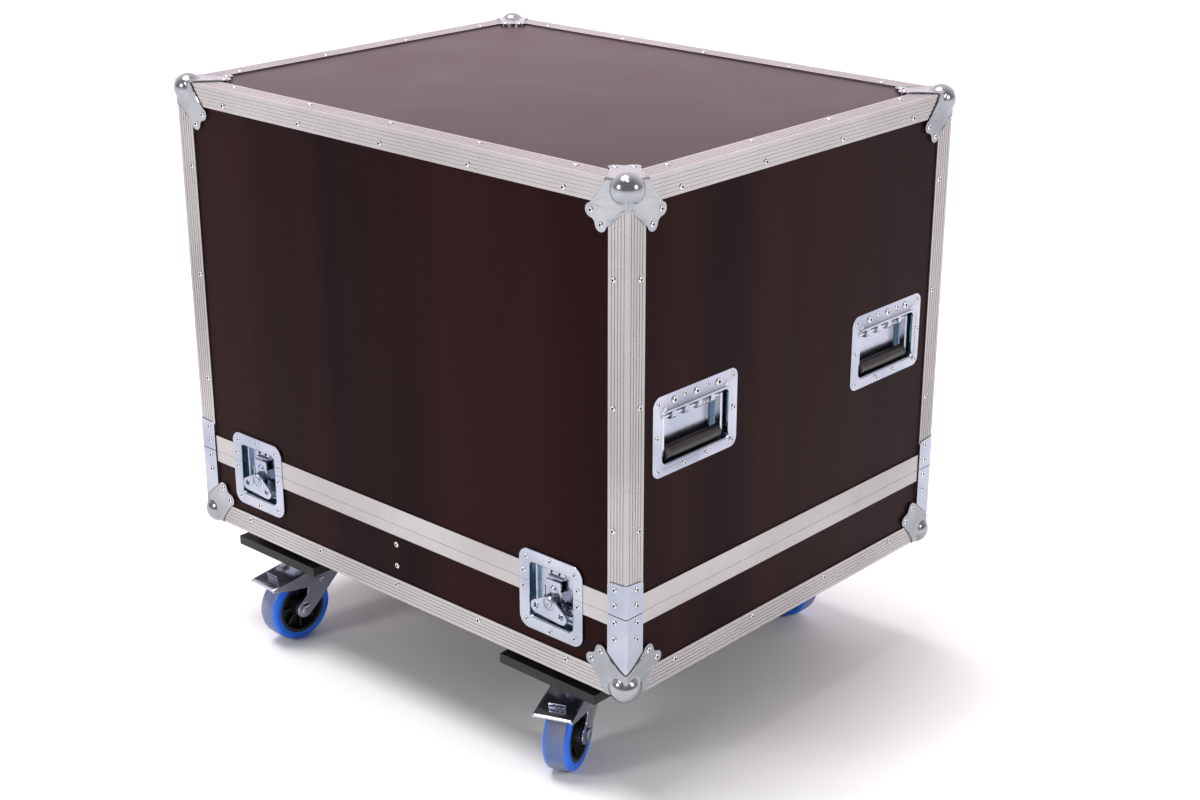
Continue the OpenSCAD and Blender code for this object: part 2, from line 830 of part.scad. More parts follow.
placed() tray_floor_panel();
placed() tray_long_panels();
placed() tray_end_panels();
placed() tray_edge_profiles();
placed() tray_closing_profiles();
placed() tray_ball_corners();
placed() tray_corner_brackets();
placed() tray_latch_dishes();
placed() latch_base_plates();
placed() tray_divider();
placed() tray_foam_pads();
placed() tray_fasteners();
placed() castor_packers();
placed() castor_boards();
placed() castor_plates();
placed() swivel_balls();
placed() castor_bolts();
placed() hood_top_panel();
placed() hood_long_panels();
placed() hood_end_panels();
placed() hood_edge_profiles();
placed() hood_closing_profiles();
placed() hood_ball_corners();
placed() hood_corner_brackets();
placed() hood_latch_dishes();
placed() latch_keepers();
placed() handle_dishes();
placed() handle_springs();
placed() hood_fasteners();
placed() hood_foam_pad();
for (i = four) {
  placed() latch_wing(i);
  placed() latch_hook(i);
  placed() handle_bail(i);
  placed() handle_grip(i);
  placed() castor_fork(i);
  placed() wheel_hub(i);
  placed() wheel_tyre(i);
}
for (i = [1, 2]) {
  placed() brake_pedal(i);
}
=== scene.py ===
"""Looks of the lift-off hood case: pressed hardware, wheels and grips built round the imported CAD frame."""

import json
import math

import bmesh
import bpy
from mathutils import Matrix, Vector


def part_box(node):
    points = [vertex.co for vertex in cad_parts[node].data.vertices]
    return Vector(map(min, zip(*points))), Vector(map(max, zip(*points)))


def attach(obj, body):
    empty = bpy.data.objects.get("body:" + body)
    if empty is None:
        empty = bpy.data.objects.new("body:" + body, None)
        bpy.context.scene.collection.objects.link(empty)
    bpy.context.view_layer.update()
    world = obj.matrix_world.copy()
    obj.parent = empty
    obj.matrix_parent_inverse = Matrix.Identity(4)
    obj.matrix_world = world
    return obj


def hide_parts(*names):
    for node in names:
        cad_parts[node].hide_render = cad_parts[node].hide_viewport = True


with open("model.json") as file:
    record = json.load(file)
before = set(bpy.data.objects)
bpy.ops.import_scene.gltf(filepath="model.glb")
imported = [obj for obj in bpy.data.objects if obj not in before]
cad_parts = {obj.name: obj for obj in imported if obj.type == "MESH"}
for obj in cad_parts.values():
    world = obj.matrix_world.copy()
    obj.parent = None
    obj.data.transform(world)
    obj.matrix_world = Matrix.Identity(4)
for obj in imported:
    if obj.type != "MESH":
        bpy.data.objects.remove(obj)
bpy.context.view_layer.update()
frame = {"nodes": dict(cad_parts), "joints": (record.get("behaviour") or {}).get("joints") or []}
JOINTS = {j["name"]: j for j in frame["joints"]}
FOUR = (1, 2, 3, 4)
BRAKED = (1, 2)

# All shapes below are in millimetres in a local frame: X along the face, Y into the case, Z up.
MM = 0.001
LATCH_HUB_DROP = 7.7
PIN_IN = 8.3
PIN_UP = 20.0
PLATE = 1.5
QUARTER_TURN = math.pi / 2


# ---------------------------------------------------------------- frames


def in_mm(origin, turn=0.0):
    """A frame in millimetres at a point in metres, turned about Z."""
    return (
        Matrix.Translation(Vector(origin))
        @ Matrix.Rotation(turn, 4, "Z")
        @ Matrix.Scale(MM, 4)
    )


def latch_at(i):
    joint = JOINTS[f"wing_turn_{i}"]
    hub = Vector(joint["pos_m"])
    turn = 0.0 if joint["axis"][1] < 0 else math.pi
    return in_mm(hub + Vector((0, 0, LATCH_HUB_DROP * MM)), turn)


def handle_at(i):
    pin = Vector(JOINTS[f"handle_swing_{i}"]["pos_m"])
    out = 1.0 if pin.x > 0 else -1.0
    origin = pin + Vector((out * PIN_IN, 0, -PIN_UP)) * MM
    return in_mm(origin, out * math.pi / 2)


def castor_at(i):
    swivel = JOINTS[f"castor_swivel_{i}"]["pos_m"]
    axis = JOINTS[f"wheel_roll_{i}"]["axis"]
    return in_mm((swivel[0], swivel[1], 0), math.atan2(axis[1], axis[0]))


def wheel_at(i):
    axle = JOINTS[f"wheel_roll_{i}"]
    return in_mm(axle["pos_m"], math.atan2(axle["axis"][1], axle["axis"][0]))


def corners(node, z_end, up):
    """Frames at the four corners of a node's box, each with its axes pointing into the case."""
    low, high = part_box(node)
    z = low.z if z_end == "low" else high.z
    frames = []
    for x, sx in ((low.x, 1), (high.x, -1)):
        for y, sy in ((low.y, 1), (high.y, -1)):
            axes = Matrix.Diagonal((sx * MM, sy * MM, up * MM, 1))
            frames.append(Matrix.Translation((x, y, z)) @ axes)
    return frames


# ---------------------------------------------------------------- mesh building


def loft(bm, at, rings, closed=True, start=False, end=False):
    """Skins rings that all have the same number of points."""
    rows = [[bm.verts.new(at @ Vector(p)) for p in ring] for ring in rings]
    count = len(rows[0])
    spans = count if closed else count - 1
    for a, b in zip(rows, rows[1:]):
        for j in range(spans):
            k = (j + 1) % count
            bm.faces.new((a[j], a[k], b[k], b[j]))
    if start:
        bm.faces.new(reversed(rows[0]))
    if end:
        bm.faces.new(rows[-1])
    return rows


def lathe(bm, at, profile, steps=64, closed=False):
    """Turns (along, radius) points about the frame's X axis."""
    points = profile + profile[:1] if closed else profile
    rings = []
    for along, radius in points:
        ring = []
        for s in range(steps):
            a = 2 * math.pi * s / steps
            ring.append((along, max(radius, 0.01) * math.cos(a), max(radius, 0.01) * math.sin(a)))
        rings.append(ring)
    loft(bm, at, rings, start=not closed, end=not closed)


def mirrored(half):
    """A whole (along, radius) profile from its half, which starts at the middle."""
    return [(-along, r) for along, r in reversed(half)] + half[1:]


def facing(at, x, z, depth=0.0):
    """The same frame moved to (x, z) on the face, with its X axis pointing into the case."""
    return at @ Matrix.Translation((x, depth, z)) @ Matrix.Rotation(QUARTER_TURN, 4, "Z")


def arc(cx, cy, r, start, stop, steps):
    """Points on an arc, angles in degrees."""
    points = []
    for k in range(steps + 1):
        a = math.radians(start + (stop - start) * k / steps)
        points.append((cx + r * math.cos(a), cy + r * math.sin(a)))
    return points


def rounded_rect(half_w, half_h, r, cz=0.0, steps=8):
    """Outline of a rounded rectangle, anticlockwise."""
    points = []
    for sx, sz, start in ((1, 1, 0), (-1, 1, 90), (-1, -1, 180), (1, -1, 270)):
        points += arc(sx * (half_w - r), cz + sz * (half_h - r), r, start, start + 90, steps)
    return points


def plate(bm, at, outlines, n0, n1, edge=0.4):
    """A sheet between depths n0 and n1 with rounded edges: its rim, then any holes."""
    curve = bpy.data.curves.new("outline", "CURVE")
    curve.dimensions = "2D"
    curve.fill_mode = "BOTH"
    curve.extrude = (n1 - n0) / 2 - edge
    curve.bevel_depth = edge
    curve.bevel_resolution = 2
    curve.offset = -edge
    for outline in outlines:
        spline = curve.splines.new("POLY")
        spline.points.add(len(outline) - 1)
        for point, (x, z) in zip(spline.points, outline):
            point.co = (x, z, 0, 1)
        spline.use_cyclic_u = True
    holder = bpy.data.objects.new("outline", curve)
    bpy.context.scene.collection.objects.link(holder)
    graph = bpy.context.evaluated_depsgraph_get()
    mesh = bpy.data.meshes.new_from_object(holder.evaluated_get(graph))
    known = set(bm.verts)
    bm.from_mesh(mesh)
    fresh = [v for v in bm.verts if v not in known]
    stand = at @ Matrix.Translation((0, (n0 + n1) / 2, 0)) @ Matrix.Rotation(QUARTER_TURN, 4, "X")
    bmesh.ops.transform(bm, matrix=stand, verts=fresh)
    bpy.data.objects.remove(holder)
    bpy.data.curves.remove(curve)
    bpy.data.meshes.remove(mesh)


def tube(bm, at, path, radius, sides=10, cyclic=False):
    """A round wire along a path."""
    points = [Vector(p) for p in path]
    count = len(points)
    rings = []
    for k, p in enumerate(points):
        before = points[(k - 1) % count] if cyclic or k else p
        after = points[(k + 1) % count] if cyclic or k < count - 1 else p
        ahead = (after - before).normalized()
        side = ahead.cross(Vector((0.31, 0.17, 0.93))).normalized()
        up = side.cross(ahead)
        ring = []
        for s in range(sides):
            a = 2 * math.pi * s / sides
            ring.append(p + side * (radius * math.cos(a)) + up * (radius * math.sin(a)))
        rings.append(ring)
    if cyclic:
        rings.append(rings[0])
    loft(bm, at, rings, start=not cyclic, end=not cyclic)


def merge(bm, part, at):
    """Adds a part drawn in its own frame to a mesh."""
    bmesh.ops.transform(part, matrix=at, verts=part.verts)
    scrap = bpy.data.meshes.new("scrap")
    part.to_mesh(scrap)
    part.free()
    bm.from_mesh(scrap)
    bpy.data.meshes.remove(scrap)


def piece(name, bm, body, material, nodes=(), sharp=35.0, second=None):
    """Turns the mesh into an object that rides on a body and stands for CAD nodes."""
    bmesh.ops.remove_doubles(bm, verts=bm.verts, dist=0.00002)
    bmesh.ops.recalc_face_normals(bm, faces=bm.faces)
    mesh = bpy.data.meshes.new(name)
    bm.to_mesh(mesh)
    bm.free()
    mesh.materials.append(material)
    if second:
        mesh.materials.append(second)
    mesh.polygons.foreach_set("use_smooth", [True] * len(mesh.polygons))
    mesh.set_sharp_from_angle(angle=math.radians(sharp))
    obj = bpy.data.objects.new(name, mesh)
    bpy.context.scene.collection.objects.link(obj)
    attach(obj, body)
    if nodes:
        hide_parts(*nodes)
    return obj


# ---------------------------------------------------------------- materials


def new_material(name):
    material = bpy.data.materials.new(name)
    material.use_nodes = True
    tree = material.node_tree
    return material, tree, tree.nodes["Principled BSDF"]


def object_coords(tree, scale=(1, 1, 1)):
    coords = tree.nodes.new("ShaderNodeTexCoord")
    mapping = tree.nodes.new("ShaderNodeMapping")
    mapping.inputs["Scale"].default_value = scale
    tree.links.new(coords.outputs["Object"], mapping.inputs["Vector"])
    return mapping.outputs["Vector"]


def noise(tree, vector, scale, detail=4.0):
    node = tree.nodes.new("ShaderNodeTexNoise")
    node.inputs["Scale"].default_value = scale
    node.inputs["Detail"].default_value = detail
    tree.links.new(vector, node.inputs["Vector"])
    return node.outputs["Fac"]


def ramp(tree, value, stops):
    node = tree.nodes.new("ShaderNodeValToRGB")
    while len(node.color_ramp.elements) < len(stops):
        node.color_ramp.elements.new(0.5)
    for element, (place, colour) in zip(node.color_ramp.elements, stops):
        element.position = place
        element.color = (*colour, 1)
    tree.links.new(value, node.inputs["Fac"])
    return node.outputs["Color"]


def spread(tree, value, low, high, start=0.3, stop=0.7):
    """Maps a 0 to 1 texture value to a range."""
    node = tree.nodes.new("ShaderNodeMapRange")
    node.inputs["From Min"].default_value = start
    node.inputs["From Max"].default_value = stop
    node.inputs["To Min"].default_value = low
    node.inputs["To Max"].default_value = high
    tree.links.new(value, node.inputs["Value"])
    return node.outputs["Result"]


def bump(tree, shader, height, strength, distance):
    node = tree.nodes.new("ShaderNodeBump")
    node.inputs["Strength"].default_value = strength
    node.inputs["Distance"].default_value = distance
    tree.links.new(height, node.inputs["Height"])
    tree.links.new(node.outputs["Normal"], shader.inputs["Normal"])


def surface(name, dark, light, rough, scale, metallic=0.0, grain=(1, 1, 1), relief=0.1, coat=0.0):
    """A finish that wanders between two colours and two roughnesses, with a fine relief."""
    material, tree, shader = new_material(name)
    vector = object_coords(tree, grain)
    patches = noise(tree, vector, scale, 5.0)
    fine = noise(tree, vector, scale * 14, 3.0)
    tree.links.new(ramp(tree, patches, [(0.35, dark), (0.65, light)]), shader.inputs["Base Color"])
    tree.links.new(spread(tree, fine, *rough), shader.inputs["Roughness"])
    shader.inputs["Metallic"].default_value = metallic
    shader.inputs["Coat Weight"].default_value = coat
    shader.inputs["Coat Roughness"].default_value = 0.12
    bump(tree, shader, fine, relief, 0.0004)
    return material


def film_material():
    """Brown phenolic film: faint upright bands of painted reflection in its colour and roughness, fine
    pores, semi-gloss, with a mauve haze.
    """
    material, tree, shader = new_material("phenolic_film")
    # Upright stripes of lighter and darker brown: painted reflection of the studio, which also varies the
    # roughness.
    painted_reflection_bands = noise(tree, object_coords(tree, (7.0, 7.0, 0.25)), 1.2, 1.5)
    pores = noise(tree, object_coords(tree), 900.0, 2.0)
    brown = ramp(tree, painted_reflection_bands, [(0.36, (0.0060, 0.0012, 0.0012)), (0.64, (0.0165, 0.0042, 0.0040))])
    tree.links.new(brown, shader.inputs["Base Color"])
    tree.links.new(spread(tree, painted_reflection_bands, 0.28, 0.33), shader.inputs["Roughness"])
    shader.inputs["IOR"].default_value = 1.14
    shader.inputs["Specular Tint"].default_value = (0.60, 0.22, 0.26, 1)
    shader.inputs["Sheen Weight"].default_value = 0.42
    shader.inputs["Sheen Roughness"].default_value = 0.2
    shader.inputs["Sheen Tint"].default_value = (1.0, 0.46, 0.66, 1)
    bump(tree, shader, pores, 0.06, 0.0002)
    return material


FILM = film_material()
ALUMINIUM = surface("satin_aluminium", (0.33, 0.315, 0.315), (0.46, 0.445, 0.445), (0.24, 0.34), 2.6,
                    metallic=1.0, relief=0.03)
ZINC = surface("blue_zinc", (0.32, 0.35, 0.43), (0.46, 0.485, 0.56), (0.18, 0.26), 12.0,
               metallic=1.0, relief=0.02)
CORNER = surface("corner_steel", (0.24, 0.26, 0.28), (0.36, 0.38, 0.40), (0.15, 0.23), 12.0,
                 metallic=1.0, relief=0.02)
STEEL = surface("plated_steel", (0.50, 0.51, 0.54), (0.62, 0.62, 0.65), (0.18, 0.28), 20.0,
                metallic=1.0, relief=0.02)
CASTOR = surface("castor_zinc", (0.34, 0.36, 0.44), (0.50, 0.52, 0.60), (0.14, 0.22), 9.0,
                 metallic=1.0, relief=0.02)
# A darker teal copy of the zinc for the upright walls of the dishes: painted shade inside the recesses.
RECESS_SHADE = surface("recess_zinc_painted_shade", (0.07, 0.19, 0.27), (0.24, 0.38, 0.48), (0.16, 0.24), 16.0,
                 metallic=1.0, relief=0.02)
GRIP = surface("grip_rubber", (0.010, 0.007, 0.007), (0.018, 0.013, 0.013), (0.34, 0.48), 60.0,
               relief=0.15)
TYRE = surface("blue_rubber", (0.0, 0.12, 0.72), (0.0, 0.17, 0.88), (0.34, 0.44), 40.0,
               relief=0.06, coat=0.1)
TREAD = surface("worn_tread", (0.07, 0.13, 0.34), (0.26, 0.25, 0.27), (0.46, 0.60), 16.0,
                relief=0.1)
NYLON = surface("black_nylon", (0.006, 0.006, 0.007), (0.013, 0.013, 0.015), (0.30, 0.44), 50.0,
                relief=0.1)
BOARD = surface("dark_board", (0.0025, 0.0012, 0.0012), (0.0060, 0.0035, 0.0035), (0.50, 0.65), 14.0,
                grain=(1, 0.25, 6), relief=0.2)
BIRCH = surface("birch_ply", (0.40, 0.27, 0.15), (0.56, 0.41, 0.26), (0.45, 0.60), 8.0,
                grain=(6, 0.6, 6), relief=0.2)
FOAM = surface("grey_foam", (0.020, 0.020, 0.022), (0.050, 0.050, 0.054), (0.85, 0.95), 240.0,
               relief=1.0)
# Dark colour for the mandrel holes of the rivets: painted shade.
HOLE_SHADE = surface("rivet_hole_painted_shade", (0.020, 0.012, 0.011), (0.050, 0.034, 0.030), (0.50, 0.65), 60.0,
               metallic=0.6, relief=0.1)

CARRIED = {
    FILM: ["tray_floor_panel", "tray_long_panels", "tray_end_panels", "hood_top_panel", "hood_long_panels",
           "hood_end_panels"],
    ALUMINIUM: ["tray_edge_profiles", "hood_edge_profiles", "tray_closing_profiles",
                "hood_closing_profiles"],
    ZINC: ["latch_base_plates", "latch_keepers"],
    STEEL: ["castor_bolts", "castor_plates", "swivel_balls", "handle_springs"]
    + [f"handle_bail_{i}" for i in FOUR],
    BOARD: ["castor_boards", "castor_packers"],
    BIRCH: ["tray_divider"],
    FOAM: ["tray_foam_pads", "hood_foam_pad"],
}
for material, names in CARRIED.items():
    for name in names:
        mesh = frame["nodes"][name].data
        mesh.materials.clear()
        mesh.materials.append(material)


# ---------------------------------------------------------------- corner hardware

BALL_IN = 11.5
BALL_R = 20.0
ARRIS = 3.0
EAR_IN = 34
EAR_NEAR, EAR_FAR, EAR_R = 40, 55, 8.5
RIM_WIDTH, RIM_HEIGHT = 3.6, 0.55
CREASE_IN, CREASE_WIDTH, CREASE_HEIGHT = 31.5, 2.0, 0.45


def arris_round(u):
    """Depth of the plate's surface where it rolls over the case's edge."""
    reach = ARRIS - PLATE
    if u >= reach:
        return -PLATE
    return reach - math.sqrt(max(ARRIS**2 - (reach - u) ** 2, 0.0))


def smooth_min(a, b, width):
    """The smaller of two values, blended where they are within a width of each other."""
    share = max(0.0, min(1.0, 0.5 + (b - a) / (2 * width)))
    return b + (a - b) * share - width * share * (1 - share)


def corner_outline():
    """Rim of a ball corner's plate on one face, walked from one edge of the case to the other."""
    edge = ARRIS * (1 - math.sqrt(0.5)) - PLATE
    waist = [(EAR_IN, edge), (35, 3), (38, 9), (43, 15.5), (49, 23)]
    run = waist + arc(EAR_FAR, EAR_NEAR, EAR_R, -78, 70, 12)
    run += [(52.5, 49.5), (49.5, 52.5)]
    run += arc(EAR_NEAR, EAR_FAR, EAR_R, 20, 168, 12)
    run += [(v, u) for u, v in reversed(waist)]
    dense = []
    for (ax, ay), (bx, by) in zip(run, run[1:]):
        parts = max(1, round(math.hypot(bx - ax, by - ay) / 2.5))
        dense += [(ax + (bx - ax) * k / parts, ay + (by - ay) * k / parts) for k in range(parts)]
    strip = (EAR_IN - edge) / 12
    down_one_edge = [(edge, EAR_IN - k * strip) for k in range(13)]
    up_the_other = [(edge + k * strip, edge) for k in range(1, 12)]
    return dense + down_one_edge + up_the_other


def corner_height(u, v, radius, from_rim, on_ear):
    """Depth of the pressed plate: flat, with a rolled rim and creases, swept up into the ball."""
    flat = max(-PLATE, arris_round(u), arris_round(v))
    if on_ear and from_rim < RIM_WIDTH:
        flat -= RIM_HEIGHT * math.sin(math.pi * from_rim / RIM_WIDTH) ** 2
    crease = abs(min(u, v) - CREASE_IN)
    if crease < CREASE_WIDTH:
        flat += CREASE_HEIGHT * (1 - crease / CREASE_WIDTH)
    ball = BALL_IN - math.sqrt(BALL_R**2 - min(radius, BALL_R - 0.01) ** 2)
    return smooth_min(flat, ball + 0.25, 2.6)


def rim_foot(u, v, turn, last):
    """Where the rim of an ear meets the case; along the case's edges the plates join instead."""
    if max(u, v) > EAR_IN + 0.2:
        return turn(u, v, 2.0 if min(u, v) > 30 else 0.0)
    return last


def ball_corner(bm, at):
    """Three pressed plates with rolled rims that sweep up into a steel ball."""
    outline = corner_outline()
    inner = BALL_IN + 0.4
    steps = 14
    turns = (
        lambda u, v, n: (u, v, n),
        lambda u, v, n: (n, u, v),
        lambda u, v, n: (v, n, u),
    )
    for turn in turns:
        rings = []
        for k in range(steps + 1):
            ring = []
            for u, v in outline:
                du, dv = u - BALL_IN, v - BALL_IN
                reach = math.hypot(du, dv)
                radius = inner + (reach - inner) * k / steps
                pu = BALL_IN + du / reach * radius
                pv = BALL_IN + dv / reach * radius
                depth = corner_height(pu, pv, radius, reach - radius, max(u, v) > EAR_IN + 0.5)
                ring.append(turn(pu, pv, depth))
            rings.append(ring)
        rings.append([rim_foot(u, v, turn, last) for (u, v), last in zip(outline, rings[-1])])
        loft(bm, at, rings)
    rows = 28
    profile = []
    for k in range(rows + 1):
        a = math.pi * k / rows
        profile.append((-BALL_R * math.cos(a), BALL_R * math.sin(a)))
    diagonal = Vector((-1, -1, -1)).to_track_quat("X", "Z").to_matrix().to_4x4()
    outside = [p for p in profile if p[0] > -BALL_R * 0.15]
    lathe(bm, at @ Matrix.Translation((BALL_IN, BALL_IN, BALL_IN)) @ diagonal, outside, 56)


def seam_bracket(bm, at, low, high):
    """An angle plate round the case's edge, its ends given as heights over the distance from that edge."""
    reach = ARRIS - PLATE
    stations = [29 - k * 2.5 for k in range(11)]
    run = [(x, -PLATE, x, 0.0, x) for x in stations]
    for k in range(9):
        a = math.radians(270 - 90 * k / 8)
        x, y = reach + ARRIS * math.cos(a), reach + ARRIS * math.sin(a)
        run.append((x, y, max(x, 0.0), max(y, 0.0), 0.0))
    run += [(-PLATE, x, 0.0, x, x) for x in reversed(stations)]
    outer_low = [(x, y, low(s) + 0.4) for x, y, _, _, s in run]
    outer_high = [(x, y, high(s) - 0.4) for x, y, _, _, s in run]
    inner_low = [(ix, iy, low(s)) for _, _, ix, iy, s in run]
    inner_high = [(ix, iy, high(s)) for _, _, ix, iy, s in run]
    loft(bm, at, [inner_low, outer_low, outer_high, inner_high], closed=False)


def between(points):
    """Straight-line interpolation through (x, y) points."""
    def value(x):
        for (ax, ay), (bx, by) in zip(points, points[1:]):
            if x <= bx:
                return ay + (by - ay) * (x - ax) / (bx - ax)
        return points[-1][1]
    return value


TRAY_H = (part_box("tray_edge_profiles")[1].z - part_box("tray_edge_profiles")[0].z) / MM
PARTS = (
    ("tray", "tray_edge_profiles", "low", 1),
    ("hood", "hood_edge_profiles", "high", -1),
)
for body, node, end, up in PARTS:
    bm = bmesh.new()
    for at in corners(node, end, up):
        ball_corner(bm, at)
    piece(f"{body}_ball_corner_shells", bm, body, CORNER, [f"{body}_ball_corners"], 50)

bm = bmesh.new()
for at in corners("tray_edge_profiles", "low", 1):
    seam_bracket(bm, at, between([(0, 37), (3, 38), (9, 41.5), (16, 47), (29, 58)]), lambda s: TRAY_H)
piece("tray_bracket_shells", bm, "tray", ZINC, ["tray_corner_brackets"])
bm = bmesh.new()
for at in corners("hood_edge_profiles", "low", 1):
    seam_bracket(bm, at, lambda s: 0.0, between([(0, 44.6), (26, 42.4), (29, 39.6)]))
piece("hood_bracket_shells", bm, "hood", ZINC, ["hood_corner_brackets"])


# ---------------------------------------------------------------- latches


def dish_rings(levels, cz=0.0):
    """Rings of a pressed dish from (half width, half height, corner radius, depth) levels."""
    return [[(x, n, z) for x, z in rounded_rect(w, h, r, cz)] for w, h, r, n in levels]


# (half width, half height, corner radius, depth) from the rim in to the floor
LATCH_LEVELS = [
    (53.5, 54.5, 16, 2.0), (53.5, 54.5, 16, -0.6), (53.2, 54.2, 15.7, -1.0), (52.6, 53.6, 15.2, -1.2),
    (39.6, 39.6, 8.5, -1.2), (38.0, 38.0, 7.4, -0.9), (36.9, 36.9, 6.6, 0.2), (36.5, 36.5, 6.2, 1.6),
    (36.4, 36.4, 6.0, 9.6), (36.0, 36.0, 5.8, 11.0), (34.8, 34.8, 5.2, 11.9), (32.0, 32.0, 4.0, 12.0),
]
LATCH_FLOOR = 11.4
SEAM = 10.5
SEAM_GAP = 0.4
WING_FRONT, WING_BACK = -4.2, -1.7
WING_TILT = 4
LOBE_X, LOBE_Z, LOBE_R = 21.5, -12.5, 9
FINGER_X, FINGER_Z, FINGER_R = 21, -11, 3.2
HUB_PROFILE = [(-1.9, 9.6), (-4.3, 9.4), (-5.2, 9.0), (-5.6, 8.2), (-5.5, 7.4), (-4.5, 7.0),
               (-4.4, 5.6), (-5.3, 5.2), (-5.6, 4.4), (-5.6, 2.2), (-4.9, 1.9), (-4.9, 0)]
SHAFT_PROFILE = [(-1.8, 7.9), (3.4, 7.9), (3.45, 5.0), (11.8, 5.0)]
HOOK_W = 25.4
HOOK_IN, HOOK_T = 4.0, 2.5
HOOK_TOP = 20.2
HOOK_LIFT = 8.0
TOOTH_PITCH, TOOTH_R = 2.8, 0.85
BOSS_PROFILE = [(0.3, 6.6), (-0.5, 6.4), (-0.8, 5.6), (-1.7, 5.2), (-2.6, 4.2), (-3.1, 2.6),
                (-3.2, 1.2), (-3.2, 0)]


def paint_wall_shade(bm, deep):
    """Gives the upright walls of a dish its second material, a darker teal zinc that is painted shade inside
    the recess.
    """
    bmesh.ops.recalc_face_normals(bm, faces=bm.faces)
    for face in bm.faces:
        if 0.2 < face.calc_center_median().y < deep and abs(face.normal.y) < 0.5:
            face.material_index = 1


def half_dish(bm, at, keep_low):
    """A latch dish cut at the seam."""
    local = bmesh.new()
    loft(local, Matrix.Identity(4), dish_rings(LATCH_LEVELS), end=True)
    paint_wall_shade(local, LATCH_FLOOR)
    cut = SEAM if keep_low else SEAM + SEAM_GAP
    everything = local.verts[:] + local.edges[:] + local.faces[:]
    bmesh.ops.bisect_plane(local, geom=everything, plane_co=(0, 0, cut), plane_no=(0, 0, 1),
                           clear_outer=keep_low, clear_inner=not keep_low)
    merge(bm, local, at)


def wing_outline():
    """Half-moon wing with two finger lobes and a hub."""
    left = arc(-LOBE_X, LOBE_Z, LOBE_R, 270, 122, 14)
    hub = arc(0, 0, 9.9, 118, 62, 8)
    right = arc(LOBE_X, LOBE_Z, LOBE_R, 58, -90, 14)
    return left + hub + right


def latch_wing(bm, at):
    """Pressed wing with two eyelets, a ringed hub and the shaft that drives the hook."""
    holes = [arc(side * FINGER_X, FINGER_Z, FINGER_R, 0, 345, 23) for side in (-1, 1)]
    plate(bm, at, [wing_outline()] + holes, WING_FRONT, WING_BACK, 0.9)
    for side in (-1, 1):
        eyelet = arc(side * FINGER_X, FINGER_Z, FINGER_R + 0.9, 0, 345, 23)
        tube(bm, at, [(x, WING_FRONT + 0.05, z) for x, z in eyelet], 0.55, 8, cyclic=True)
    lathe(bm, facing(at, 0, 0), HUB_PROFILE, 48)
    lathe(bm, facing(at, 0, 0), SHAFT_PROFILE, 40)


def latch_hook(bm, at):
    """Hook plate with a slot for the shaft, a toothed top edge and a domed boss."""
    low = -LATCH_HUB_DROP - HOOK_LIFT
    slot = arc(0, -LATCH_HUB_DROP, 5.4, 0, 180, 12) + arc(0, low, 5.4, 180, 360, 12)
    back = HOOK_IN + HOOK_T
    plate(bm, at, [rounded_rect(HOOK_W / 2, 22.6, 2.0, -2.4), slot], HOOK_IN, back, 0.45)
    for k in range(-4, 5):
        x = k * TOOTH_PITCH
        tube(bm, at, [(x, HOOK_IN - 0.1, HOOK_TOP), (x, back, HOOK_TOP)], TOOTH_R, 10)
    lathe(bm, facing(at, 1, 8, HOOK_IN), BOSS_PROFILE, 48)


for body, low_half in (("tray", True), ("hood", False)):
    bm = bmesh.new()
    for i in FOUR:
        half_dish(bm, latch_at(i), low_half)
    piece(f"{body}_latch_pans", bm, body, ZINC, [f"{body}_latch_dishes"], second=RECESS_SHADE)

for i in FOUR:
    at = latch_at(i)
    hub = at @ Matrix.Translation((0, 0, -LATCH_HUB_DROP))
    bm = bmesh.new()
    latch_wing(bm, hub @ Matrix.Rotation(math.radians(WING_TILT), 4, "Y"))
    piece(f"latch_wing_shell_{i}", bm, f"wing_{i}", ZINC, [f"latch_wing_{i}"], 40)
    bm = bmesh.new()
    latch_hook(bm, at)
    piece(f"latch_hook_plate_{i}", bm, f"hook_{i}", ZINC, [f"latch_hook_{i}"], 40)


# ---------------------------------------------------------------- handles

HANDLE_LEVELS = [
    (78.5, 51.5, 12, 0.0), (78.5, 51.5, 12, -0.7), (78.2, 51.2, 11.7, -1.05), (77.6, 50.6, 11.2, -1.2),
]
# The bead round the opening, then the walls and the floor
RECESS_LEVELS = [
    (67.6, 37.1, 12.5, -1.2), (67.0, 36.5, 12.0, -1.6), (65.8, 35.3, 11.0, -2.2), (64.6, 34.1, 9.5, -2.4),
    (63.2, 32.7, 8.4, -2.1), (62.3, 31.8, 7.6, -1.2), (62.0, 31.5, 7.0, 0.4),
    (61.9, 31.4, 7.0, 15.0), (61.3, 30.8, 6.6, 16.8), (59.6, 29.1, 5.6, 17.7), (56.0, 26.0, 4.0, 17.8),
]
RECESS_Z = -4.5
RECESS_FLOOR = 16.0
KNUCKLES = (-36, -12, 12, 36)
KNUCKLE_W, KNUCKLE_R, KNUCKLE_TOP = 8, 6, 27.3
PIN_BORE_R = 3.06
DIMPLE_X, DIMPLE_Z, FLANGE = 57.7, 33.7, -1.2
DIMPLE_PROFILE = [(0.1, 3.4), (-0.35, 3.1), (-0.6, 2.2), (-0.45, 1.2), (-0.3, 0)]
GRIP_DROP = 27


